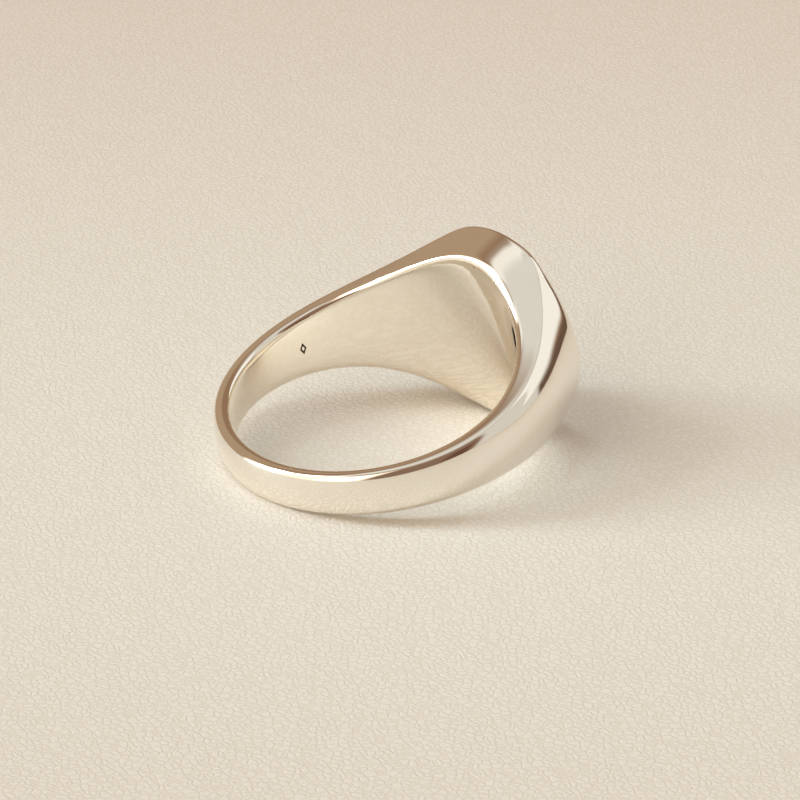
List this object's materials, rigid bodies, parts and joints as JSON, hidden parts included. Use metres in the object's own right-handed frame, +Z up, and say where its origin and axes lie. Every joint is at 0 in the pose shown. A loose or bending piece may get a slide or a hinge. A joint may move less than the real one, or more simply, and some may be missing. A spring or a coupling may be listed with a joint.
{
  "type": "signet ring",
  "caption": "Plain polished silver signet ring with a flat rounded table, tapered domed shoulders and a slim rear hoop, lying on its side.",
  "frame": {"origin": "centre of the bounding box's underside, on the floor the ring lies on", "axes": "+Z up, the ring lying on its side; +X towards the head, which is raised so its table faces up by the lay angle of 13.77 degrees; the ring is symmetric across the XZ plane"},
  "size_m": [0.0198, 0.0182, 0.0111],
  "materials": {
    "sterling_silver": "mirror-polished sterling silver",
    "silver_solder": "hard silver solder, filed flush and polished"
  },
  "bodies": {
    "root": {"signet_head": "sterling_silver", "shoulder_left": "sterling_silver", "shoulder_right": "sterling_silver", "shank_hoop": "sterling_silver", "solder_head_left": "silver_solder", "solder_head_right": "silver_solder", "solder_hoop_left": "silver_solder", "solder_hoop_right": "silver_solder"}
  },
  "joints": []
}
